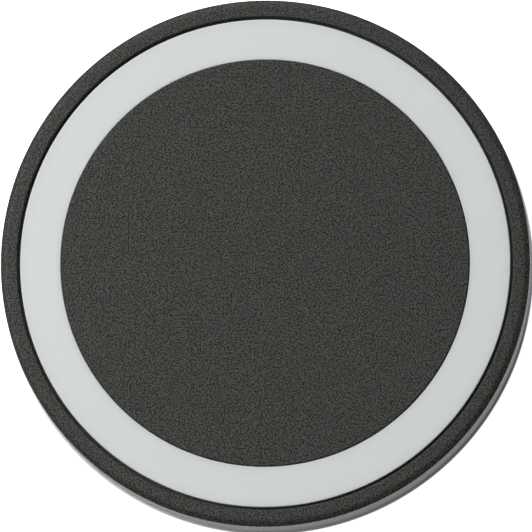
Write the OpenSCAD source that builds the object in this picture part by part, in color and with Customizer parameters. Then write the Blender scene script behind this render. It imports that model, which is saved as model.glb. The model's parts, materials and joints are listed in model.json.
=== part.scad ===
// Round wireless charging pad with a light ring and a USB-C inlet.
// Origin: centre of the resting plane. +Z up, the USB-C socket faces +Y, the front is -Y.

/* [Body] */
// Outside diameter of the housing
pad_d = 100; // [99:0.5:110]
// Height from the resting plane to the top of the charging disc
pad_h = 12; // [11:0.5:15]
// Thickness of the housing side wall
wall = 2; // [1.6:0.1:2.2]
// Width of the crowned outer part of the rim
crown_w = 1.3; // [0.8:0.1:1.6]
// Radius of that crown
crown_r = 2; // [1.8:0.1:3]
// How far the rim lies below the top of the disc
rim_drop = 0.1; // [0:0.05:0.3]

/* [Charging disc and light ring] */
// Diameter of the charging disc
disc_d = 77.2; // [76.5:0.1:77.5]
// Thickness of the charging disc
disc_t = 1.2; // [1:0.1:1.4]
// Rounding of the top edge of the disc
disc_edge = 0.25; // [0.1:0.05:0.4]
// Outside diameter of the light ring
ring_d = 92.6; // [91.6:0.1:92.8]
// Thickness of the light ring
ring_t = 1.2; // [1:0.1:1.4]
// How far the light ring lies below the top of the disc
ring_drop = 0.2; // [0.1:0.05:0.4]
// Gap between the light ring and the rim
ring_gap = 0.45; // [0.2:0.05:0.6]

/* [Base] */
// Height at which housing and base cover meet
part_z = 2.6; // [2.4:0.1:2.8]
// Width of the shadow line where they meet
part_line = 0.2; // [0.1:0.05:0.3]
// Rounding of the bottom edge of the base cover
base_edge = 1; // [0.6:0.1:1.2]
// Number of rubber feet, each over one case screw
foot_n = 4; // [3:1:4]
// Diameter of a rubber foot
foot_d = 8; // [7:0.5:8]
// How far the feet stand out below the base cover
foot_h = 0.6; // [0.5:0.1:0.8]

/* [Electronics] */
// Thickness of the circuit board
board_t = 1.2; // [1:0.1:1.2]
// Number of light-emitting diodes under the light ring
led_n = 12; // [4:4:12]
// Number of turns of the transmitter coil
coil_turns = 11; // [8:1:11]
// Diameter of the coil wire
wire_d = 1.1; // [0.8:0.1:1.1]
// Radius of the innermost turn
coil_in = 10.3; // [10:0.1:10.5]
// Spacing of the turns
coil_pitch = 1.3; // [1.2:0.05:1.3]

/* [Hidden] */
$fn = 96;

R = pad_d / 2;
disc_r = disc_d / 2;
ring_r = ring_d / 2;
rim_in = ring_r + ring_gap;
z_rim = pad_h - rim_drop;
z_ring = pad_h - ring_drop;
disc_bot = pad_h - disc_t;
ring_bot = z_ring - ring_t;
ledge_t = 1.2;
ledge_bot = ring_bot - ledge_t;
ledge_r = ring_r - 1.3;
seat_r = disc_r - 2.6;          // inner edge of the step the disc lies on
seat_bot = disc_bot - 1;

floor_t = 1.6;
floor_top = foot_h + floor_t;
base_r = R - 0.2;
foot_sink = 0.4;
foot_pos_r = 44;
screw_pos_r = 46;
boss_top = part_z + 0.4;        // where the housing bosses meet the base bosses

board_bot = floor_top + 1.4;
board_top = board_bot + board_t;
board_r = 43.8;
post_r = 34;                    // radius of the board screws
peg_r = 40.6;                   // radius of the diodes and reflector pegs

usb_w = 8.94;                   // standard outside width of the socket shell
usb_h = 3.16;
usb_t = 0.3;
usb_l = 7.35;
usb_y = R - 0.4;                // mouth of the socket
usb_z = board_top + usb_h / 2;

glue_t = 0.3;
coil_top = disc_bot - glue_t;
coil_z = coil_top - wire_d / 2; // wire centre
ferrite_top = coil_top - wire_d;
ferrite_t = 0.8;
ferrite_bot = ferrite_top - ferrite_t;
carrier_t = 0.8;
carrier_bot = ferrite_bot - carrier_t;
carrier_r = 27.5;
lead_z = ferrite_top - wire_d / 2;
e = 0.01;

// ---- helpers ----
module ring_at(r, n, a0 = 0) {
  for (i = [0 : n - 1]) rotate(a0 + i * 360 / n) translate([r, 0, 0]) children();
}
// rectangle from corner to corner
module span(x0, x1, y0, y1) {
  translate([x0, y0]) square([x1 - x0, y1 - y0]);
}
// what a rounding of radius r removes at the corner (x, y); sx, sy point out of the corner
module corner_cut(x, y, r, sx, sy) {
  difference() {
    translate([sx > 0 ? x - r : x - 0.5, sy > 0 ? y - r : y - 0.5]) square([r + 0.5, r + 0.5]);
    translate([x - sx * r, y - sy * r]) circle(r = r);
  }
}
// what the crown takes off the outer top corner of the rim
module crown_cut() {
  difference() {
    translate([R - crown_w, z_rim - crown_r]) square([crown_w + 0.5, crown_r + 0.5]);
    translate([R - crown_w, z_rim - crown_r]) circle(r = crown_r);
  }
}
// slot with round ends, standing in the XZ plane, running along +Y
module slot_y(w, h, l) {
  rotate([90, 0, 0]) mirror([0, 0, 1]) linear_extrude(l) {
    translate([-(w - h) / 2, -h / 2]) square([w - h, h]);
    for (s = [-1, 1]) translate([s * (w - h) / 2, 0]) circle(d = h);
  }
}
module block(x, y, z, sx, sy, sz) {
  translate([x - sx / 2, y - sy / 2, z]) cube([sx, sy, sz]);
}

// ---- housing ----
module top_shell() {
  color([0.23, 0.23, 0.22]) difference() {
    union() {
      rotate_extrude() difference() {
        union() {
          span(R - wall, R, part_z, z_rim);
          span(rim_in, R, ledge_bot, z_rim);
          span(ledge_r, R - 1, ledge_bot, ring_bot);
        }
        span(R - 0.5, R + 1, part_z - 1, part_z + part_line);
        crown_cut();
        corner_cut(rim_in, z_rim, 0.3, -1, 1);
      }
      // bosses for the case screws, each tied to the wall by a rib
      ring_at(screw_pos_r, foot_n, 45) {
        translate([0, 0, boss_top]) cylinder(r = 1.7, h = ledge_bot + 0.4 - boss_top);
        translate([0, -0.5, boss_top]) cube([R - wall + 0.5 - screw_pos_r, 1, ledge_bot + 0.4 - boss_top]);
      }
      // stiffening ribs under the ledge
      ring_at(ledge_r + 0.4, 8, 22.5)
        translate([0, -0.4, ledge_bot - 1.8]) cube([R - wall + 0.5 - ledge_r - 0.4, 0.8, 2]);
    }
    ring_at(screw_pos_r, foot_n, 45) translate([0, 0, boss_top - 1]) cylinder(r = 0.7, h = 5.4);
    // opening for the socket, with a shallow step around it
    translate([0, R - wall - 2.5, usb_z]) slot_y(usb_w + 0.36, usb_h + 0.36, 6);
    translate([0, R - 0.55, usb_z]) slot_y(usb_w + 1.5, usb_h + 1.3, 2);
  }
}

module charging_disc() {
  color([0.24, 0.24, 0.235]) rotate_extrude() difference() {
    union() {
      span(0, disc_r, disc_bot, pad_h);
      span(seat_r - 0.6, seat_r - 0.1, disc_bot - 0.6, disc_bot + 0.2);
    }
    corner_cut(disc_r, pad_h, disc_edge, 1, 1);
  }
}

module light_ring() {
  color([0.82, 0.835, 0.83]) rotate_extrude() difference() {
    union() {
      span(disc_r + 0.06, ring_r, ring_bot, z_ring);
      span(seat_r, disc_r + 1, seat_bot, disc_bot);
    }
    span(seat_r - 1, disc_r + 0.06, disc_bot, pad_h);
    corner_cut(ring_r, z_ring, 0.2, 1, 1);
  }
}

module reflector_frame() {
  floor_z = board_top + 0.9;
  color([0.93, 0.93, 0.92]) difference() {
    union() {
      rotate_extrude() {
        span(seat_r + 1, seat_r + 1.9, board_top, seat_bot);
        span(seat_r + 1, board_r + 0.2, floor_z, floor_z + 0.6);
        span(board_r - 0.6, board_r + 0.2, floor_z, ring_bot);
      }
      ring_at(peg_r, 3, 0) translate([0, 0, board_bot + 0.3]) cylinder(r = 0.75, h = floor_z - board_bot);
    }
    ring_at(peg_r, led_n, 180 / led_n) translate([-1.2, -1.2, floor_z - 1]) cube([2.4, 2.4, 2]);
    translate([-5.8, peg_r - 0.1, board_top - 1]) cube([11.6, 8, usb_h + 1.3]);
  }
}

module base_cover() {
  color([0.2, 0.2, 0.195]) difference() {
    union() {
      rotate_extrude() difference() {
        union() {
          span(0, base_r, foot_h, floor_top);
          span(R - wall, base_r, foot_h, part_z);
          span(R - wall - 1.3, R - wall - 0.15, foot_h + 0.5, part_z + 1.4);
          span(23.6, 24.6, floor_top - 0.2, floor_top + 0.7);
        }
        corner_cut(base_r, foot_h, base_edge, 1, -1);
      }
      ring_at(screw_pos_r, foot_n, 45) translate([0, 0, floor_top - 0.2]) cylinder(r = 2.2, h = boss_top - floor_top + 0.2);
      ring_at(post_r, 4, 45) translate([0, 0, floor_top - 0.2]) cylinder(r = 1.9, h = board_bot - floor_top + 0.2);
      for (a = [0 : 45 : 315]) rotate(a)
        translate([24.2, -0.5, floor_top - 0.2]) cube([16, 1, 0.9]);
    }
    // the locating lip opens at each screw boss and at the socket
    ring_at(screw_pos_r, foot_n, 45) translate([-2.4, -2.5, boss_top]) cube([4.8, 5, 4]);
    translate([-8, R - 12, floor_top]) cube([16, 10.2, 4]);
    ring_at(foot_pos_r, foot_n, 45) translate([0, 0, foot_h - 1]) cylinder(d = foot_d + 0.2, h = 1 + foot_sink);
    ring_at(screw_pos_r, foot_n, 45) {
      translate([0, 0, 0]) cylinder(r = 1.65, h = foot_h + foot_sink + 0.9);
      translate([0, 0, 0]) cylinder(r = 0.95, h = 5);
    }
    ring_at(post_r, 4, 45) translate([0, 0, floor_top - 0.9]) cylinder(r = 0.6, h = 4);
  }
}

module rubber_feet() {
  color([0.12, 0.12, 0.12]) ring_at(foot_pos_r, foot_n, 45) rotate_extrude() difference() {
    span(0, foot_d / 2, 0, foot_h + foot_sink);
    corner_cut(foot_d / 2, 0, 0.2, 1, -1);
  }
}

// cross-recessed screw, head up, the head's underside at z = 0
module screw(head_r, head_h, shank_r, length) {
  difference() {
    union() {
      cylinder(r = head_r, h = head_h);
      translate([0, 0, -length + 0.6]) cylinder(r = shank_r, h = length - 0.6 + e);
      translate([0, 0, -length]) cylinder(r1 = shank_r * 0.45, r2 = shank_r, h = 0.6 + e);
    }
    for (a = [0, 90]) rotate(a) translate([-head_r * 0.62, -head_r * 0.14, head_h * 0.4]) cube([head_r * 1.24, head_r * 0.28, 2]);
  }
}

module case_screws() {
  color([0.62, 0.62, 0.64]) ring_at(screw_pos_r, foot_n, 45)
    translate([0, 0, foot_h + foot_sink + 0.9]) mirror([0, 0, 1]) screw(1.5, 0.85, 0.7, 5);
}

module board_screws() {
  color([0.62, 0.62, 0.64]) ring_at(post_r, 4, 45) translate([0, 0, board_top]) screw(1.4, 0.8, 0.6, 3);
}

// ---- circuit board ----
module main_board() {
  color([0.09, 0.3, 0.17]) translate([0, 0, board_bot]) linear_extrude(board_t) difference() {
    union() {
      circle(r = board_r);
      translate([-6.8, 30]) square([13.6, usb_y - 2.6 - 30]);
    }
    ring_at(post_r, 4, 45) circle(r = 0.95);
    ring_at(25, 4, 0) circle(r = 0.9);
    ring_at(peg_r, 3, 0) circle(r = 0.85);
    for (x = [-1, 1], y = [1.3, 4.1]) translate([x * 4.32, usb_y - usb_l + y]) square([0.7, 1.4], center = true);
  }
}

module usb_shell() {
  color([0.72, 0.73, 0.75]) {
    difference() {
      union() {
        translate([0, usb_y - usb_l, usb_z]) slot_y(usb_w, usb_h, usb_l);
        for (s = [-1, 1], y = [1.3, 4.1])
          translate([s * (usb_w / 2 - usb_t / 2) - usb_t / 2, usb_y - usb_l + y - 0.5, board_bot + 0.1]) cube([usb_t, 1, usb_z - board_bot - 0.1]);
      }
      translate([0, usb_y - usb_l - 1, usb_z]) slot_y(usb_w - 2 * usb_t, usb_h - 2 * usb_t, usb_l + 2);
    }
  }
}

module usb_tongue() {
  color([0.08, 0.08, 0.08]) {
    translate([0, usb_y - usb_l + 0.1, usb_z]) slot_y(usb_w - 2 * usb_t, usb_h - 2 * usb_t, 1.6);
    block(0, usb_y - 3.4, usb_z - 0.35, 6.69, 5.4, 0.7);
  }
}

module usb_contacts() {
  color([0.86, 0.7, 0.35]) {
    for (s = [0, 1], i = [0 : 11])
      block(-2.75 + 0.5 * i, usb_y - 3.0, s == 0 ? usb_z + 0.35 : usb_z - 0.41, 0.26, 4.4, 0.06);
    for (i = [0 : 11]) block(-2.75 + 0.5 * i, usb_y - usb_l - 0.4, board_top, 0.26, 1, 0.15);
  }
}

module led_chips() {
  color([0.95, 0.9, 0.7]) ring_at(peg_r, led_n, 180 / led_n) {
    block(0, 0, board_top, 1.25, 2, 0.4);
    translate([0, 0, board_top + 0.4]) cylinder(r = 0.55, h = 0.3);
  }
}

// ---- chips ----
ic_x = 0;
ic_y = -12;
module control_ic() {
  color([0.1, 0.1, 0.1]) difference() {
    block(ic_x, ic_y, board_top + 0.1, 7, 7, 1.4);
    translate([ic_x - 2.7, ic_y + 2.7, board_top + 1.4]) cylinder(r = 0.35, h = 1);
  }
}

module ic_pins() {
  color([0.75, 0.75, 0.76]) translate([ic_x, ic_y, board_top]) for (a = [0 : 90 : 270], i = [0 : 11]) rotate(a)
    translate([-2.75 + 0.5 * i - 0.11, 0, 0]) rotate([90, 0, 90]) linear_extrude(0.22)
      polygon([[3.5, 0.75], [3.5, 0.9], [3.85, 0.9], [4.0, 0.15], [4.5, 0.15], [4.5, 0], [3.87, 0], [3.73, 0.75]]);
}

// [x, y, turned 90 degrees]
mosfets = [[-13, -4, 0], [-13, -9, 0], [13, -4, 0], [13, -9, 0]];
module power_mosfets() {
  color([0.11, 0.11, 0.12]) for (p = mosfets) block(p[0], p[1], board_top, 3.3, 3.3, 0.9);
}

big_caps = [[-10, 3, 0], [-10, 5.6, 0], [-10, 8.2, 0], [-10, 10.8, 0]];
small_caps = [[6, -6, 0], [-6, -6, 0], [6, -18, 0], [-6, -18, 0], [10, 20, 1], [12.4, 20, 1], [-12, 20, 1], [-14.4, 20, 1], [8.5, -12, 1], [-8.5, -12, 1]];
resistors = [[3, -4.5, 0], [-3, -4.5, 0], [3, -19.8, 0], [-3, -19.8, 0], [16.5, 10, 1], [16.5, 13, 1], [18.7, 10, 1], [18.7, 13, 1]];
module chip_body(p, l, w, h) {
  translate([p[0], p[1], board_top]) rotate(90 * p[2]) block(0, 0, 0, l * 0.7, w, h);
}
module chip_ends(p, l, w, h) {
  translate([p[0], p[1], board_top]) rotate(90 * p[2]) for (s = [-1, 1]) block(s * l * 0.425, 0, 0, l * 0.15, w, h);
}
module resonant_capacitors() {
  color([0.62, 0.5, 0.36]) for (p = big_caps) chip_body(p, 3.2, 1.6, 1.5);
}
module bypass_capacitors() {
  color([0.66, 0.54, 0.4]) for (p = small_caps) chip_body(p, 2, 1.25, 1);
}
module chip_resistors() {
  color([0.09, 0.09, 0.1]) for (p = resistors) chip_body(p, 1.6, 0.8, 0.45);
}
module chip_terminals() {
  color([0.78, 0.78, 0.79]) {
    for (p = big_caps) chip_ends(p, 3.2, 1.6, 1.5);
    for (p = small_caps) chip_ends(p, 2, 1.25, 1);
    for (p = resistors) chip_ends(p, 1.6, 0.8, 0.45);
  }
}

module power_inductor() {
  color([0.22, 0.22, 0.23]) translate([0, 29.5, board_top]) intersection() {
    translate([-2.7, -2.7, 0]) cube([5.4, 5.4, 2.6]);
    cylinder(r = 3.5, h = 2.6);
  }
}

module crystal() {
  color([0.8, 0.8, 0.81]) {
    block(11, -16.5, board_top, 3.2, 2.5, 0.3);
    block(11, -16.5, board_top + 0.3, 2.9, 2.2, 0.45);
  }
}

// ---- coil ----
// the wire is one path: inner lead, spiral, outer lead
seg = 30;
spiral_n = coil_turns * seg;
coil_out = coil_in + coil_turns * coil_pitch;
lead_r = 29.6;
bend = 1.0;
function unit(v) = v / norm(v);
// quarter bend from p, direction u turning into direction v
function turn(p, u, v, r, n = 4) = [for (i = [1 : n]) let (a = 90 * i / n) p + r * sin(a) * u + r * (1 - cos(a)) * v];

a_in = -90;
ex = [cos(a_in), sin(a_in), 0];
et = [-sin(a_in), cos(a_in), 0];
up = [0, 0, 1];
in_start = [lead_r * ex[0], lead_r * ex[1], board_top + 0.5] - 1.4 * et;
in_low = [in_start[0], in_start[1], lead_z - bend];
in_a = concat([in_start, in_low], turn(in_low, up, -ex, bend));
in_far = coil_in * ex - 1.4 * et + [0, 0, lead_z] + (bend + 0.1) * ex;
in_rise = turn(in_far, -ex, et, bend);
spiral = [for (i = [0 : spiral_n]) let (a = a_in + 360 * i / seg, r = coil_in + coil_pitch * i / seg,
  z = coil_z - (coil_z - lead_z) * (i < 7 ? (1 + cos(180 * i / 7)) / 2 : 0)) [r * cos(a), r * sin(a), z]];
out_end = spiral[spiral_n];
out_turn = turn([out_end[0] + 2.0, out_end[1], coil_z], [1, 0, 0], [0, -1, 0], bend);
out_flat = [out_turn[3][0], -lead_r + bend, coil_z];
out_down = turn(out_flat, [0, -1, 0], [0, 0, -1], bend);
out_last = [out_down[3][0], out_down[3][1], board_top + 0.5];
wire_path = concat(in_a, [in_far], in_rise, [for (i = [1 : spiral_n]) spiral[i]], [[out_end[0] + 2.0, out_end[1], coil_z]], out_turn, [out_flat], out_down, [out_last]);

function tangent(p, i) = i == 0 ? unit(p[1] - p[0]) : i == len(p) - 1 ? unit(p[i] - p[i - 1])
  : unit(unit(p[i + 1] - p[i]) + unit(p[i] - p[i - 1]));
// frames carried along the path without twist
function frames(p, i, n, acc) = i == len(p) ? acc
  : let (t = tangent(p, i), m = unit(n - (n * t) * t)) frames(p, i + 1, m, concat(acc, [[m, cross(t, m)]]));
module wire(path, r, sides, n0) {
  f = frames(path, 0, n0, []);
  n = len(path);
  pts = [for (i = [0 : n - 1], k = [0 : sides - 1]) path[i] + r * (cos(360 * k / sides) * f[i][0] + sin(360 * k / sides) * f[i][1])];
  polyhedron(pts, concat(
    [[for (k = [0 : sides - 1]) k]],
    [for (i = [0 : n - 2], k = [0 : sides - 1]) let (a = i * sides + k, b = i * sides + (k + 1) % sides) each [[a, a + sides, b], [b, a + sides, b + sides]]],
    [[for (k = [sides - 1 : -1 : 0]) (n - 1) * sides + k]]));
}
module transmitter_coil() {
  color([0.72, 0.4, 0.2]) wire(wire_path, wire_d / 2, 8, [1, 0, 0]);
}

module ferrite_sheet() {
  color([0.25, 0.25, 0.27]) translate([0, 0, ferrite_bot]) linear_extrude(ferrite_t) difference() {
    circle(r = carrier_r - 0.9);
    circle(r = 1.7);
    translate([-1.4 - 0.8, -carrier_r - 2]) square([3.4, carrier_r + 2 - coil_in + 1.4]);
  }
}

module coil_carrier() {
  color([0.15, 0.15, 0.16]) difference() {
    union() {
      translate([0, 0, carrier_bot]) cylinder(r = carrier_r, h = carrier_t);
      translate([0, 0, carrier_bot]) difference() {
        cylinder(r = carrier_r, h = carrier_t + ferrite_t);
        cylinder(r = carrier_r - 0.8, h = carrier_t + ferrite_t + 1);
      }
      ring_at(25, 4, 0) translate([0, 0, board_top]) cylinder(r = 1.5, h = carrier_bot - board_top + 0.2);
      ring_at(25, 4, 0) translate([0, 0, board_bot + 0.4]) cylinder(r = 0.8, h = 2);
    }
    translate([0, 0, carrier_bot - 1]) cylinder(r = 4, h = 4);
    translate([-1.4 - 0.8, -carrier_r - 2, ferrite_bot - 0.45]) cube([3.4, carrier_r + 2 - coil_in + 1.4, 3]);
  }
}

module coil_adhesive() {
  color([0.9, 0.88, 0.8]) translate([0, 0, coil_top]) difference() {
    cylinder(r = 25.6, h = glue_t);
    translate([0, 0, -1]) cylinder(r = 9, h = glue_t + 2);
  }
}

module thermistor() {
  color([0.1, 0.12, 0.1]) translate([0, 0, ferrite_top - 0.2]) rotate_extrude() intersection() {
    translate([0, 0.6]) circle(r = 1.2);
    span(0, 2, -0.2, 1.4);
  }
}

module thermistor_leads() {
  color([0.75, 0.7, 0.66]) for (s = [-1, 1]) translate([s * 0.6, 0, board_top + 0.4]) cylinder(r = 0.2, h = ferrite_top - 0.4 - board_top - 0.4);
}

module solder_joints() {
  color([0.74, 0.75, 0.77]) {
    translate([in_start[0], in_start[1], board_top]) cylinder(r1 = 1.3, r2 = 0.7, h = 0.5);
    translate([out_last[0], out_last[1], board_top]) cylinder(r1 = 1.3, r2 = 0.7, h = 0.5);
    for (s = [-1, 1]) translate([s * 0.6, 0, board_top]) cylinder(r1 = 0.5, r2 = 0.25, h = 0.4);
  }
}

top_shell();
charging_disc();
light_ring();
reflector_frame();
base_cover();
rubber_feet();
case_screws();
board_screws();
main_board();
usb_shell();
usb_tongue();
usb_contacts();
led_chips();
control_ic();
ic_pins();
power_mosfets();
resonant_capacitors();
bypass_capacitors();
chip_resistors();
chip_terminals();
power_inductor();
crystal();
transmitter_coil();
ferrite_sheet();
coil_carrier();
coil_adhesive();
thermistor();
thermistor_leads();
solder_joints();
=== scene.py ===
import json
import math
import bpy
import bmesh
from mathutils import Matrix, Vector


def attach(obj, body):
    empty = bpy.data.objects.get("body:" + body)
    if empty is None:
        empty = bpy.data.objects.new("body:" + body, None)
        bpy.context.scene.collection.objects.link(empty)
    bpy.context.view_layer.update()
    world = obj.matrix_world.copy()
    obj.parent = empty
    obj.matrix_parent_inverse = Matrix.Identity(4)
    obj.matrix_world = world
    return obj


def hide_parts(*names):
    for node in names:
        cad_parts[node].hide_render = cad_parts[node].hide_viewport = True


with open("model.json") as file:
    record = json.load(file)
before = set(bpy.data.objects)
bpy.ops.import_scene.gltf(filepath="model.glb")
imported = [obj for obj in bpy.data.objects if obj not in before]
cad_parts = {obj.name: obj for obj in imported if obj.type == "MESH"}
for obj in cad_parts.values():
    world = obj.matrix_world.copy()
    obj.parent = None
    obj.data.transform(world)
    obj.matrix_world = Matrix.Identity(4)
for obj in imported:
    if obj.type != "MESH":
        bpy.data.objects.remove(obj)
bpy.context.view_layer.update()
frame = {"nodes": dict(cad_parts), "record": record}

nodes = frame["nodes"]
scene = bpy.context.scene
MM = 0.001
SEG = 288

# the part's own sizes, in millimetres
R = 50.0
H = 12.0
WALL = 2.0
CROWN_W = 1.3
CROWN_R = 2.0
Z_RIM = H - 0.1
Z_RING = H - 0.2
DISC_R = 38.6
RING_R = 46.3
RIM_IN = 46.75
DISC_BOT = H - 1.2
RING_BOT = Z_RING - 1.2
LEDGE_BOT = RING_BOT - 1.2
LEDGE_R = 45.0
SEAT_R = 36.0
SEAT_BOT = DISC_BOT - 1.0
PART_Z = 2.6
FOOT_H = 0.6
FLOOR_TOP = FOOT_H + 1.6
BASE_R = R - 0.2
BOSS_TOP = PART_Z + 0.4
BOARD_BOT = FLOOR_TOP + 1.4
BOARD_TOP = BOARD_BOT + 1.2
USB_Z = BOARD_TOP + 3.16 / 2
USB_Y = R - 0.4


# ---------------------------------------------------------------- geometry
def arc(cx, cy, r, a0, a1, n):
    """Points of an arc in the profile plane, degrees."""
    return [(cx + r * math.cos(math.radians(a0 + (a1 - a0) * i / n)),
             cy + r * math.sin(math.radians(a0 + (a1 - a0) * i / n))) for i in range(n + 1)]


def densify(loop, edge=0.12, longest=2.5):
    """Adds points close to both ends of every long side, so that smooth shading stays in the roundings, and splits very long sides."""
    out = []
    for i, p in enumerate(loop):
        q = loop[(i + 1) % len(loop)]
        out.append(p)
        d = math.dist(p, q)
        if d > 3 * edge:
            at = [edge / d]
            n = int((d - 2 * edge) // longest)
            at += [(edge + (d - 2 * edge) * k / (n + 1)) / d for k in range(1, n + 1)]
            at.append(1 - edge / d)
            out += [(p[0] + (q[0] - p[0]) * t, p[1] + (q[1] - p[1]) * t) for t in at]
    return out


def mesh_object(name, bm):
    bmesh.ops.remove_doubles(bm, verts=bm.verts, dist=1e-7)
    bmesh.ops.recalc_face_normals(bm, faces=bm.faces)
    me = bpy.data.meshes.new(name)
    bm.to_mesh(me)
    bm.free()
    ob = bpy.data.objects.new(name, me)
    scene.collection.objects.link(ob)
    return ob


def lathe(name, loop, seg=SEG, centre=(0, 0), dense=True):
    """A closed profile (radius, height in mm) turned about the Z axis through centre."""
    if dense:
        loop = densify(loop)
    bm = bmesh.new()
    rows = []
    for r, z in loop:
        if r < 1e-6:
            v = bm.verts.new((centre[0] * MM, centre[1] * MM, z * MM))
            rows.append([v] * seg)
        else:
            rows.append([bm.verts.new(((centre[0] + r * math.cos(2 * math.pi * k / seg)) * MM,
                                       (centre[1] + r * math.sin(2 * math.pi * k / seg)) * MM, z * MM))
                         for k in range(seg)])
    for i in range(len(rows)):
        a, b = rows[i], rows[(i + 1) % len(rows)]
        for k in range(seg):
            k1 = (k + 1) % seg
            vs = []
            for v in (a[k], a[k1], b[k1], b[k]):
                if v not in vs:
                    vs.append(v)
            if len(vs) >= 3:
                bm.faces.new(vs)
    return mesh_object(name, bm)


def box(name, x0, x1, y0, y1, z0, z1, turn=0.0):
    bm = bmesh.new()
    bmesh.ops.create_cube(bm, size=1.0)
    m = Matrix.Rotation(math.radians(turn), 4, "Z") @ Matrix.Translation(
        Vector(((x0 + x1) / 2, (y0 + y1) / 2, (z0 + z1) / 2)) * MM) @ Matrix.Diagonal(
        ((x1 - x0) * MM, (y1 - y0) * MM, (z1 - z0) * MM, 1))
    bm.transform(m)
    return mesh_object(name, bm)


def slot_bar(name, w, h, y0, y1, z, n=24):
    """A bar with round ends, standing in the XZ plane and running along Y."""
    pts = []
    c = (w - h) / 2
    pts += [(c + h / 2 * math.cos(math.radians(a)), h / 2 * math.sin(math.radians(a)))
            for a in [-90 + 180 * i / n for i in range(n + 1)]]
    pts += [(-c + h / 2 * math.cos(math.radians(a)), h / 2 * math.sin(math.radians(a)))
            for a in [90 + 180 * i / n for i in range(n + 1)]]
    bm = bmesh.new()
    a = [bm.verts.new((x * MM, y0 * MM, (z + t) * MM)) for x, t in pts]
    b = [bm.verts.new((x * MM, y1 * MM, (z + t) * MM)) for x, t in pts]
    bm.faces.new(a)
    bm.faces.new(list(reversed(b)))
    for i in range(len(a)):
        j = (i + 1) % len(a)
        bm.faces.new((a[i], b[i], b[j], a[j]))
    return mesh_object(name, bm)


def join_meshes(name, objs):
    bm = bmesh.new()
    for o in objs:
        bm.from_mesh(o.data)
    for o in objs:
        bpy.data.objects.remove(o)
    me = bpy.data.meshes.new(name)
    bm.to_mesh(me)
    bm.free()
    ob = bpy.data.objects.new(name, me)
    scene.collection.objects.link(ob)
    return ob


def boolean(target, tool, operation):
    """target with tool cut from it or joined to it; the tool is used up."""
    mod = target.modifiers.new("b", "BOOLEAN")
    mod.operation = operation
    mod.solver = "EXACT"
    mod.object = tool
    dg = bpy.context.evaluated_depsgraph_get()
    me = bpy.data.meshes.new_from_object(target.evaluated_get(dg))
    target.modifiers.clear()
    old = target.data
    target.data = me
    bpy.data.meshes.remove(old)
    bpy.data.objects.remove(tool)


def clean(ob, angle=28):
    bm = bmesh.new()
    bm.from_mesh(ob.data)
    bmesh.ops.remove_doubles(bm, verts=bm.verts, dist=2e-7)
    bmesh.ops.dissolve_degenerate(bm, dist=2e-7, edges=bm.edges)
    bm.to_mesh(ob.data)
    bm.free()
    for p in ob.data.polygons:
        p.use_smooth = True
    ob.data.set_sharp_from_angle(angle=math.radians(angle))


def soften(loop, x, y, r, n=4):
    """Replaces the profile corner nearest (x, y) by an arc of radius r."""
    i = min(range(len(loop)), key=lambda k: math.dist(loop[k], (x, y)))
    p, c, q = Vector(loop[i - 1]), Vector(loop[i]), Vector(loop[(i + 1) % len(loop)])
    u, v = (p - c).normalized(), (q - c).normalized()
    half = math.acos(max(-1, min(1, u.dot(v)))) / 2
    t = r / math.tan(half)
    a, b = c + u * t, c + v * t
    m = c + (u + v).normalized() * (r / math.sin(half))
    a0 = math.atan2(a.y - m.y, a.x - m.x)
    a1 = math.atan2(b.y - m.y, b.x - m.x)
    d = (a1 - a0 + math.pi) % (2 * math.pi) - math.pi
    pts = [(m.x + r * math.cos(a0 + d * k / n), m.y + r * math.sin(a0 + d * k / n)) for k in range(n + 1)]
    return loop[:i] + pts + loop[i + 1:]


def polar(r, deg):
    return r * math.cos(math.radians(deg)), r * math.sin(math.radians(deg))


# ---------------------------------------------------------------- the visible pieces
def build_disc():
    loop = [(0, H), (DISC_R - 0.25, H)] + arc(DISC_R - 0.25, H - 0.25, 0.25, 90, 0, 8)[1:]
    loop += [(DISC_R, DISC_BOT), (SEAT_R - 0.1, DISC_BOT), (SEAT_R - 0.1, DISC_BOT - 0.6),
             (SEAT_R - 0.6, DISC_BOT - 0.6), (SEAT_R - 0.6, DISC_BOT), (0, DISC_BOT)]
    ob = lathe("disc", loop)
    clean(ob)
    return ob


def build_ring():
    loop = [(DISC_R + 0.06, Z_RING), (RING_R, Z_RING), (RING_R, RING_BOT), (DISC_R + 1, RING_BOT),
            (DISC_R + 1, SEAT_BOT), (SEAT_R, SEAT_BOT), (SEAT_R, DISC_BOT), (DISC_R + 0.06, DISC_BOT)]
    loop = soften(loop, RING_R, Z_RING, 0.2, 6)
    loop = soften(loop, DISC_R + 0.06, Z_RING, 0.1, 5)
    loop = soften(loop, SEAT_R, DISC_BOT, 0.1, 3)
    ob = lathe("ring", loop)
    clean(ob)
    return ob


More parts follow.
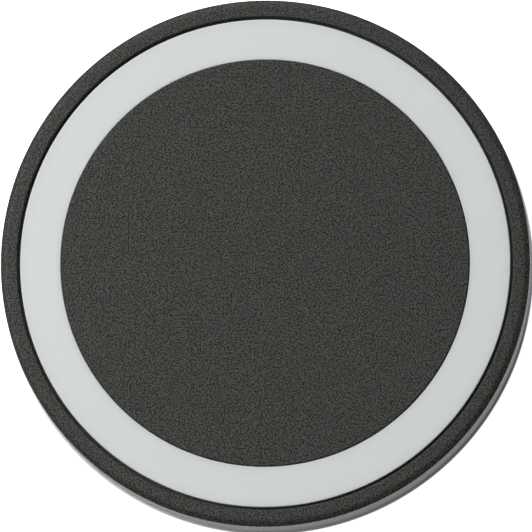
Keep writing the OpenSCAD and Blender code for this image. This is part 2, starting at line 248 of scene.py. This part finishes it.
def build_shell():
    # crowned outer part of the rim, then a small edge to the side wall
    tilt = math.degrees(math.asin(CROWN_W / CROWN_R))
    crown = arc(R - CROWN_W, Z_RIM - CROWN_R, CROWN_R, 90, 90 - tilt + 2.5, 12)
    edge_z = Z_RIM - CROWN_R + CROWN_R * math.cos(math.radians(tilt))
    loop = [(R - 0.5, PART_Z), (R - 0.5, PART_Z + 0.2), (R, PART_Z + 0.2), (R, edge_z - 0.08), (R - 0.01, edge_z - 0.035)]
    loop += list(reversed(crown)) + [(RIM_IN, Z_RIM), (RIM_IN, RING_BOT), (LEDGE_R, RING_BOT), (LEDGE_R, LEDGE_BOT),
                                     (R - WALL, LEDGE_BOT), (R - WALL, PART_Z)]
    loop = soften(loop, RIM_IN, Z_RIM, 0.3, 8)
    loop = soften(loop, R, PART_Z + 0.2, 0.06, 4)
    loop = soften(loop, LEDGE_R, RING_BOT, 0.1, 3)
    ob = lathe("shell", loop)
    top = LEDGE_BOT + 0.4
    tools = []
    for k in range(4):
        tools.append(lathe("boss", [(0.7, BOSS_TOP), (1.7, BOSS_TOP), (1.7, top), (0.0, top), (0.0, BOSS_TOP + 4.4), (0.7, BOSS_TOP + 4.4)],
                           36, polar(46, 45 + 90 * k), False))
    for k in range(8):
        tools.append(box("rib", LEDGE_R + 0.4, R - WALL + 0.5, -0.4, 0.4, LEDGE_BOT - 1.8, LEDGE_BOT + 0.2, 22.5 + 45 * k))
    boolean(ob, join_meshes("tools", tools), "UNION")
    boolean(ob, join_meshes("ties", [box("tie", 47.4, R - WALL + 0.5, -0.5, 0.5, BOSS_TOP, top, 45 + 90 * k) for k in range(4)]), "UNION")
    boolean(ob, slot_bar("hole", 8.94 + 0.36, 3.16 + 0.36, R - WALL - 2.5, R + 4, USB_Z), "DIFFERENCE")
    boolean(ob, slot_bar("step", 8.94 + 1.5, 3.16 + 1.3, R - 0.55, R + 4, USB_Z), "DIFFERENCE")
    clean(ob)
    return ob


def build_base():
    loop = [(0, FOOT_H), (BASE_R, FOOT_H), (BASE_R, PART_Z), (R - WALL, PART_Z), (R - WALL, FLOOR_TOP),
            (R - WALL - 0.15, FLOOR_TOP), (R - WALL - 0.15, PART_Z + 1.4), (R - WALL - 1.3, PART_Z + 1.4),
            (R - WALL - 1.3, FLOOR_TOP), (24.6, FLOOR_TOP), (24.6, FLOOR_TOP + 0.7), (23.6, FLOOR_TOP + 0.7),
            (23.6, FLOOR_TOP), (0, FLOOR_TOP)]
    loop = soften(loop, BASE_R, FOOT_H, 1.0, 12)
    loop = soften(loop, BASE_R, PART_Z, 0.06, 4)
    ob = lathe("base", loop)
    turns = [45 + 90 * k for k in range(4)]
    boolean(ob, join_meshes("bosses", [lathe("boss", [(0, FLOOR_TOP - 0.2), (2.2, FLOOR_TOP - 0.2), (2.2, BOSS_TOP), (0, BOSS_TOP)], 40, polar(46, a), False)
                                       for a in turns]), "UNION")
    boolean(ob, join_meshes("posts", [lathe("post", [(0, FLOOR_TOP - 0.2), (1.9, FLOOR_TOP - 0.2), (1.9, BOARD_BOT), (0, BOARD_BOT)], 40, polar(34, a), False)
                                      for a in turns]), "UNION")
    boolean(ob, join_meshes("ribs", [box("rib", 24.2, 40.2, -0.5, 0.5, FLOOR_TOP - 0.2, FLOOR_TOP + 0.7, 45 * k) for k in range(8)]), "UNION")
    boolean(ob, join_meshes("gaps", [box("cut", 43.6, 48.4, -2.5, 2.5, BOSS_TOP + 0.02, BOSS_TOP + 4, a) for a in turns]
                            + [box("port", -8, 8, R - 12, R - 1.8, FLOOR_TOP + 0.02, FLOOR_TOP + 4)]), "DIFFERENCE")
    # recess of each foot, with a small bevel at its mouth
    mouth = [(0, FOOT_H - 1), (5.2, FOOT_H - 1), (4.1, FOOT_H + 0.1), (4.1, FOOT_H + 0.4), (0, FOOT_H + 0.4)]
    boolean(ob, join_meshes("sinks", [lathe("sink", mouth, 96, polar(44, a), False) for a in turns]), "DIFFERENCE")
    boolean(ob, join_meshes("heads", [lathe("head", [(0, 0), (1.65, 0), (1.65, FOOT_H + 1.3), (0, FOOT_H + 1.3)], 40, polar(46, a), False)
                                      for a in turns]), "DIFFERENCE")
    boolean(ob, join_meshes("holes", [lathe("shank", [(0, 0), (0.95, 0), (0.95, 5), (0, 5)], 32, polar(46, a), False) for a in turns]
                            + [lathe("pilot", [(0, FLOOR_TOP - 0.9), (0.6, FLOOR_TOP - 0.9), (0.6, 6), (0, 6)], 32, polar(34, a), False)
                               for a in turns]), "DIFFERENCE")
    clean(ob)
    return ob


def build_feet():
    feet = []
    for k in range(4):
        loop = [(0, 0.0), (4.0, 0.0), (4.0, FOOT_H + 0.4), (0, FOOT_H + 0.4)]
        loop = soften(loop, 4.0, 0.0, 0.25, 6)
        loop = soften(loop, 4.0, FOOT_H + 0.4, 0.12, 4)
        feet.append(lathe("foot", loop, 96, polar(44, 45 + 90 * k)))
    ob = join_meshes("feet", feet)
    clean(ob)
    return ob


# ---------------------------------------------------------------- materials
class Tree:
    """A small helper to build a node material."""

    def __init__(self, name):
        self.m = bpy.data.materials.new(name)
        self.m.use_nodes = True
        self.t = self.m.node_tree
        self.b = self.t.nodes["Principled BSDF"]
        self.coord = self.t.nodes.new("ShaderNodeTexCoord")

    def link(self, a, b):
        self.t.links.new(a, b)

    def node(self, kind, **kw):
        n = self.t.nodes.new(kind)
        for k, v in kw.items():
            setattr(n, k, v)
        return n

    def noise(self, scale, detail=2.0, rough=0.5, stretch=None, dist=0.0):
        n = self.node("ShaderNodeTexNoise")
        n.inputs["Scale"].default_value = scale
        n.inputs["Detail"].default_value = detail
        n.inputs["Roughness"].default_value = rough
        n.inputs["Distortion"].default_value = dist
        src = self.coord.outputs["Object"]
        if stretch:
            mp = self.node("ShaderNodeMapping")
            mp.inputs["Scale"].default_value = stretch
            self.link(src, mp.inputs["Vector"])
            src = mp.outputs["Vector"]
        self.link(src, n.inputs["Vector"])
        return n.outputs["Fac"]

    def voronoi(self, scale, out="Distance", jitter=1.0, dims="3D"):
        n = self.node("ShaderNodeTexVoronoi", feature="F1", voronoi_dimensions=dims)
        n.inputs["Scale"].default_value = scale
        n.inputs["Randomness"].default_value = jitter
        self.link(self.coord.outputs["Object"], n.inputs["Vector"])
        return n.outputs[out]

    def ramp(self, fac, stops, ease="LINEAR"):
        n = self.node("ShaderNodeValToRGB")
        n.color_ramp.interpolation = ease
        e = n.color_ramp.elements
        while len(e) < len(stops):
            e.new(0.5)
        for i, (p, c) in enumerate(stops):
            e[i].position = p
            e[i].color = (*c, 1) if len(c) == 3 else c
        self.link(fac, n.inputs["Fac"])
        return n.outputs["Color"]

    def span(self, fac, lo, hi, a=0.3, b=0.7):
        n = self.node("ShaderNodeMapRange")
        n.inputs["From Min"].default_value = a
        n.inputs["From Max"].default_value = b
        n.inputs["To Min"].default_value = lo
        n.inputs["To Max"].default_value = hi
        self.link(fac, n.inputs["Value"])
        return n.outputs["Result"]

    def math(self, op, a, b=None):
        n = self.node("ShaderNodeMath", operation=op)
        for i, v in enumerate((a, b)):
            if v is None:
                continue
            if isinstance(v, (int, float)):
                n.inputs[i].default_value = v
            else:
                self.link(v, n.inputs[i])
        return n.outputs[0]

    def bump(self, height, distance, strength=1.0, under=None):
        n = self.node("ShaderNodeBump")
        n.inputs["Distance"].default_value = distance
        if isinstance(strength, (int, float)):
            n.inputs["Strength"].default_value = strength
        else:
            self.link(strength, n.inputs["Strength"])
        self.link(height, n.inputs["Height"])
        if under is not None:
            self.link(under, n.inputs["Normal"])
        return n.outputs["Normal"]

    def axis(self, which):
        n = self.node("ShaderNodeSeparateXYZ")
        self.link(self.coord.outputs["Object"], n.inputs[0])
        return n.outputs[which]

    def set(self, **kw):
        for k, v in kw.items():
            self.b.inputs[k.replace("_", " ")].default_value = v


def grained_plastic(name, dark, light, rough, grain_mm=0.33, depth=0.00003, spec=0.5, flat_wall=False, deep=False):
    """Moulded charcoal plastic with a fine pebbled grain; flat_wall leaves the side wall satin."""
    t = Tree(name)
    # evenly packed pebbles, each with its own height
    own = t.node("ShaderNodeSeparateColor")
    t.link(t.voronoi(1 / (grain_mm * 0.5 * MM), "Color", 1.0), own.inputs[0])
    pack = t.voronoi(1 / (grain_mm * MM), "Distance", 1.0, "3D" if deep else "2D")
    # each pebble's own random tone, plus painted shade that darkens it towards its edges, the pits
    tone_and_painted_shade = t.math("ADD", t.math("MULTIPLY", own.outputs[0], 0.5), t.span(pack, 0.62, -0.12, 0.12, 0.68))
    height = tone_and_painted_shade
    # painted shade: the pits of the grain are painted darker and the tops paler, over each pebble's own random tone;
    # the tops are also smoother
    up = None
    if flat_wall:
        up = t.span(t.axis(2), 0.0, 1.0, (Z_RIM - 0.60) * MM, (Z_RIM - 0.46) * MM)
        even = t.node("ShaderNodeMix", data_type="FLOAT")
        even.inputs["A"].default_value = 0.5
        t.link(up, even.inputs["Factor"])
        t.link(tone_and_painted_shade, even.inputs["B"])
        tone_and_painted_shade = even.outputs["Result"]
    t.link(t.ramp(tone_and_painted_shade, [(0.38, dark), (0.62, light)]), t.b.inputs["Base Color"])
    t.set(IOR=1.46)
    t.b.inputs["Specular IOR Level"].default_value = spec
    t.b.inputs["Specular Tint"].default_value = (1.0, 1.0, 0.94, 1.0)
    if flat_wall:
        t.link(t.bump(height, depth, up), t.b.inputs["Normal"])
        satin = t.span(t.noise(900, 2.0, 0.6), WALL_ROUGH - 0.04, WALL_ROUGH + 0.04)
        mix = t.node("ShaderNodeMix", data_type="FLOAT")
        t.link(up, mix.inputs["Factor"])
        t.link(satin, mix.inputs["A"])
        t.link(t.span(tone_and_painted_shade, rough + 0.12, rough - 0.08, 0.3, 0.7), mix.inputs["B"])
        t.link(mix.outputs["Result"], t.b.inputs["Roughness"])
    else:
        t.link(t.bump(height, depth), t.b.inputs["Normal"])
        t.link(t.span(tone_and_painted_shade, rough + 0.12, rough - 0.08, 0.3, 0.7), t.b.inputs["Roughness"])
    return t.m


def milky_plastic(name, colour, rough=0.38):
    """The light ring: smooth translucent diffuser, painted darker along both borders as shade where it meets the disc
    and the rim, very faint flow marks.
    """
    t = Tree(name)
    c = Vector(colour)
    out = t.node("ShaderNodeVectorMath", operation="LENGTH")
    flat = t.node("ShaderNodeVectorMath", operation="MULTIPLY")
    flat.inputs[1].default_value = (1.0, 1.0, 0.0)
    t.link(t.coord.outputs["Object"], flat.inputs[0])
    t.link(flat.outputs["Vector"], out.inputs[0])
    r = t.math("ADD", out.outputs["Value"], t.span(t.noise(38, 2.0, 0.5), -0.0002, 0.0002))
    # painted shade: the colour drops to nine tenths at both borders of the ring, next to the disc and the rim
    across = t.span(r, 0.0, 1.0, DISC_R * MM, RING_R * MM)
    t.link(t.ramp(across, [(0.0, tuple(c * 0.90)), (0.13, tuple(c * 0.985)), (0.3, tuple(c)), (0.72, tuple(c)),
                           (0.88, tuple(c * 0.97)), (1.0, tuple(c * 0.90))]), t.b.inputs["Base Color"])
    t.link(t.span(t.noise(420, 2.0, 0.5), rough - 0.03, rough + 0.03), t.b.inputs["Roughness"])
    t.link(t.bump(t.noise(1500, 1.0, 0.5), 0.0000015), t.b.inputs["Normal"])
    t.b.inputs["Subsurface Weight"].default_value = 0.75
    t.b.inputs["Subsurface Radius"].default_value = (1.0, 1.0, 0.95)
    t.b.inputs["Subsurface Scale"].default_value = 0.0011
    t.b.inputs["Specular IOR Level"].default_value = 0.4
    return t.m


def plain_plastic(name, dark, light, rough, scale=900, depth=0.000008, spec=0.5):
    t = Tree(name)
    n = t.noise(scale, 3.0, 0.6)
    t.link(t.ramp(n, [(0.35, dark), (0.65, light)]), t.b.inputs["Base Color"])
    t.link(t.span(n, rough - 0.06, rough + 0.06), t.b.inputs["Roughness"])
    t.link(t.bump(n, depth), t.b.inputs["Normal"])
    t.b.inputs["Specular IOR Level"].default_value = spec
    return t.m


def rubber(name):
    t = Tree(name)
    n = t.noise(2200, 3.0, 0.65)
    dust = t.noise(260, 3.0, 0.6)
    t.link(t.ramp(dust, [(0.35, (0.012, 0.012, 0.012)), (0.7, (0.03, 0.03, 0.029))]), t.b.inputs["Base Color"])
    t.link(t.span(dust, 0.68, 0.85), t.b.inputs["Roughness"])
    t.link(t.bump(n, 0.00002), t.b.inputs["Normal"])
    t.b.inputs["Specular IOR Level"].default_value = 0.35
    return t.m


def metal(name, dark, light, rough=0.3, stretch=None, scale=1400):
    t = Tree(name)
    n = t.noise(scale, 3.0, 0.6, stretch)
    t.link(t.ramp(n, [(0.35, dark), (0.65, light)]), t.b.inputs["Base Color"])
    t.link(t.span(n, rough - 0.07, rough + 0.08), t.b.inputs["Roughness"])
    t.link(t.bump(n, 0.000004), t.b.inputs["Normal"])
    t.set(Metallic=1.0)
    return t.m


def ceramic(name, dark, light, rough=0.45, scale=2600):
    t = Tree(name)
    n = t.noise(scale, 3.0, 0.65)
    t.link(t.ramp(n, [(0.35, dark), (0.65, light)]), t.b.inputs["Base Color"])
    t.link(t.span(n, rough - 0.08, rough + 0.08), t.b.inputs["Roughness"])
    t.link(t.bump(n, 0.000006), t.b.inputs["Normal"])
    return t.m


def litz(name):
    """Enamelled stranded copper: fine strands that run with the turns."""
    t = Tree(name)
    w = t.node("ShaderNodeTexWave", wave_type="RINGS", rings_direction="Z")
    w.inputs["Scale"].default_value = 900
    w.inputs["Distortion"].default_value = 1.5
    w.inputs["Detail"].default_value = 2
    t.link(t.coord.outputs["Object"], w.inputs["Vector"])
    t.link(t.ramp(w.outputs["Fac"], [(0.2, (0.42, 0.15, 0.05)), (0.8, (0.80, 0.38, 0.17))]), t.b.inputs["Base Color"])
    t.link(t.bump(w.outputs["Fac"], 0.00004), t.b.inputs["Normal"])
    t.link(t.span(w.outputs["Fac"], 0.28, 0.42, 0, 1), t.b.inputs["Roughness"])
    t.set(Metallic=0.85)
    return t.m


def laminate(name):
    """Green solder mask over copper tracks."""
    t = Tree(name)
    v = t.node("ShaderNodeTexBrick")
    v.inputs["Scale"].default_value = 260
    v.inputs["Mortar Size"].default_value = 0.012
    v.inputs["Color1"].default_value = (0.012, 0.10, 0.035, 1)
    v.inputs["Color2"].default_value = (0.016, 0.13, 0.045, 1)
    v.inputs["Mortar"].default_value = (0.03, 0.21, 0.07, 1)
    t.link(t.coord.outputs["Object"], v.inputs["Vector"])
    t.link(v.outputs["Color"], t.b.inputs["Base Color"])
    n = t.noise(700, 3.0, 0.6)
    t.link(t.span(n, 0.26, 0.36), t.b.inputs["Roughness"])
    t.link(t.bump(v.outputs["Fac"], 0.00002, 1.0, t.bump(n, 0.000005)), t.b.inputs["Normal"])
    return t.m


# grain colours of the pits (dark) and the pebble tops (light); the darker pits are painted shade
DISC_DARK, DISC_LIGHT = (0.0004, 0.0004, 0.0003), (0.0358, 0.0358, 0.0331)
WALL_ROUGH = 0.5
mat = {
    "disc_plastic": grained_plastic("disc_plastic", DISC_DARK, DISC_LIGHT, 0.42, spec=0.27),
    "shell_plastic": grained_plastic("shell_plastic", DISC_DARK, (0.0325, 0.0325, 0.030), 0.42, spec=0.30, flat_wall=True),
    "base_plastic": grained_plastic("base_plastic", (0.005, 0.005, 0.0045), (0.022, 0.022, 0.0205), 0.78, depth=0.00003, spec=0.18, deep=True),
    "ring_diffuser": milky_plastic("ring_diffuser", (0.514, 0.537, 0.539)),
    "reflector_white": plain_plastic("reflector_white", (0.78, 0.78, 0.76), (0.84, 0.84, 0.82), 0.5),
    "foot_rubber": rubber("foot_rubber"),
    "screw_steel": metal("screw_steel", (0.42, 0.42, 0.43), (0.6, 0.6, 0.61), 0.32),
    "board_laminate": laminate("board_laminate"),
    "usb_steel": metal("usb_steel", (0.46, 0.465, 0.475), (0.62, 0.625, 0.635), 0.26, (1.0, 0.06, 1.0)),
    "usb_insulator": plain_plastic("usb_insulator", (0.012, 0.012, 0.013), (0.022, 0.022, 0.023), 0.45, 2400),
    "contact_gold": metal("contact_gold", (0.78, 0.55, 0.22), (0.9, 0.67, 0.3), 0.22, None, 3000),
    "led_resin": plain_plastic("led_resin", (0.82, 0.76, 0.48), (0.9, 0.85, 0.6), 0.2, 1800, 0.000003),
    "chip_epoxy": plain_plastic("chip_epoxy", (0.015, 0.015, 0.016), (0.028, 0.028, 0.03), 0.55, 3200, 0.00001),
    "pin_tin": metal("pin_tin", (0.56, 0.56, 0.56), (0.7, 0.7, 0.69), 0.3, None, 2600),
    "capacitor_ceramic": ceramic("capacitor_ceramic", (0.34, 0.22, 0.12), (0.46, 0.31, 0.18)),
    "resistor_glaze": ceramic("resistor_glaze", (0.015, 0.015, 0.018), (0.035, 0.035, 0.04), 0.25),
    "inductor_core": ceramic("inductor_core", (0.06, 0.06, 0.065), (0.11, 0.11, 0.115), 0.6, 3500),
    "crystal_can": metal("crystal_can", (0.55, 0.55, 0.55), (0.68, 0.68, 0.67), 0.28, (1.0, 0.1, 1.0)),
    "coil_copper": litz("coil_copper"),
    "ferrite": ceramic("ferrite", (0.035, 0.035, 0.038), (0.065, 0.065, 0.07), 0.5, 1800),
    "carrier_plastic": plain_plastic("carrier_plastic", (0.018, 0.018, 0.02), (0.03, 0.03, 0.032), 0.5, 1200),
    "adhesive_tape": plain_plastic("adhesive_tape", (0.70, 0.67, 0.58), (0.8, 0.77, 0.68), 0.7, 1500, 0.00001),
    "thermistor_resin": plain_plastic("thermistor_resin", (0.015, 0.018, 0.015), (0.03, 0.035, 0.03), 0.25, 1500, 0.000004),
    "solder": metal("solder", (0.6, 0.6, 0.62), (0.74, 0.74, 0.76), 0.2, None, 900),
}

# ---------------------------------------------------------------- pieces and finishes
for row in frame["record"]["subparts"]:
    ob = nodes[row["node"]]
    ob.data.materials.clear()
    ob.data.materials.append(mat[row["material_slot"]])

for build, node, slot in ((build_disc, "charging_disc", "disc_plastic"), (build_ring, "light_ring", "ring_diffuser"),
                          (build_shell, "top_shell", "shell_plastic"), (build_base, "base_cover", "base_plastic"),
                          (build_feet, "rubber_feet", "foot_rubber")):
    piece = build()
    piece.data.materials.clear()
    piece.data.materials.append(mat[slot])
    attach(piece, "root")
    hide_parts(node)

# ---------------------------------------------------------------- stage, light, camera
bm = bmesh.new()
bmesh.ops.create_grid(bm, x_segments=8, y_segments=8, size=6.0)
floor = mesh_object("floor", bm)
for p in floor.data.polygons:
    p.use_smooth = True
ft = Tree("floor_paper")
fn = ft.noise(900, 2.0, 0.5)
ft.link(ft.ramp(fn, [(0.3, (0.885, 0.885, 0.885)), (0.7, (0.9, 0.9, 0.9))]), ft.b.inputs["Base Color"])
ft.b.inputs["Roughness"].default_value = 0.9
ft.b.inputs["Specular IOR Level"].default_value = 0.1
ft.b.inputs["Emission Color"].default_value = (1, 1, 1, 1)
# painted light: the paper glows, though it is no lamp, which washes out the pad's cast shadow; the glow fades out
# between 0.42 and 0.2 mm outside the pad's rim and is off under the pad, so the contact shadow at its foot stays dark
flat = ft.node("ShaderNodeVectorMath", operation="LENGTH")
ft.link(ft.coord.outputs["Object"], flat.inputs[0])
ft.link(ft.span(flat.outputs["Value"], 0.0, 1.0, (R + 0.2) * MM, (R + 0.42) * MM), ft.b.inputs["Emission Strength"])
floor.data.materials.append(ft.m)

world = bpy.data.worlds.new("studio")
scene.world = world
world.use_nodes = True
wt = world.node_tree
bg = wt.nodes["Background"]
# a pale studio: brighter to the left and behind, dimmer to the right
wc = wt.nodes.new("ShaderNodeTexCoord")
dot = wt.nodes.new("ShaderNodeVectorMath")
dot.operation = "DOT_PRODUCT"
dot.inputs[1].default_value = Vector((-0.85, 0.40, 0.34)).normalized()
wt.links.new(wc.outputs["Generated"], dot.inputs[0])
grade = wt.nodes.new("ShaderNodeMapRange")
grade.interpolation_type = "SMOOTHSTEP"
grade.inputs["From Min"].default_value = -0.1
grade.inputs["From Max"].default_value = 1.0
grade.inputs["To Min"].default_value = 0.12
grade.inputs["To Max"].default_value = 1.05
wt.links.new(dot.outputs["Value"], grade.inputs["Value"])
bg.inputs["Color"].default_value = (1.0, 1.0, 1.0, 1)
wt.links.new(grade.outputs["Result"], bg.inputs["Strength"])


def area(name, place, aim, size, energy, size_y=None, colour=(1, 1, 1)):
    l = bpy.data.lights.new(name, "AREA")
    l.shape = "RECTANGLE"
    l.size = size
    l.size_y = size_y or size
    l.energy = energy
    l.color = colour
    ob = bpy.data.objects.new(name, l)
    scene.collection.objects.link(ob)
    ob.location = place
    ob.rotation_mode = "QUATERNION"
    ob.rotation_quaternion = (Vector(aim) - Vector(place)).to_track_quat("-Z", "Y")
    ob.visible_camera = False
    return ob


area("key", (-0.27, 0.09, 0.65), (0, 0, 0), 0.25, 2.6)
area("back", (-0.15, 1.25, 1.25), (0, 0, 0), 1.0, 15)

scene.view_settings.view_transform = "Standard"
scene.view_settings.look = "None"
scene.view_settings.exposure = 0.0
scene.view_settings.gamma = 1.0

# the photograph's framing: px per mm at the rim, and where the rim's centre falls
PX = 5.301
DIST = 3.0
AZ, EL = 21.0, 83.0
cam_data = bpy.data.cameras.new("camera")
cam = bpy.data.objects.new("camera", cam_data)
scene.collection.objects.link(cam)
scene.camera = cam
cam_data.sensor_width = 36.0
cam_data.lens = PX * (DIST / MM) * 36.0 / 532.0
cam_data.clip_start, cam_data.clip_end = 0.05, 30.0
a, e = math.radians(AZ), math.radians(EL)
back = Vector((math.sin(a) * math.cos(e), -math.cos(a) * math.cos(e), math.sin(e)))
right = Vector((0, 1, 0)).cross(back).normalized()
up = back.cross(right).normalized()
target = Vector((0, 0, Z_RIM * MM)) + (right * (266 - 265.05) + up * (262.8 - 266)) * MM / PX
cam.matrix_world = Matrix((
    (right.x, up.x, back.x, target.x + back.x * DIST),
    (right.y, up.y, back.y, target.y + back.y * DIST),
    (right.z, up.z, back.z, target.z + back.z * DIST),
    (0, 0, 0, 1)))
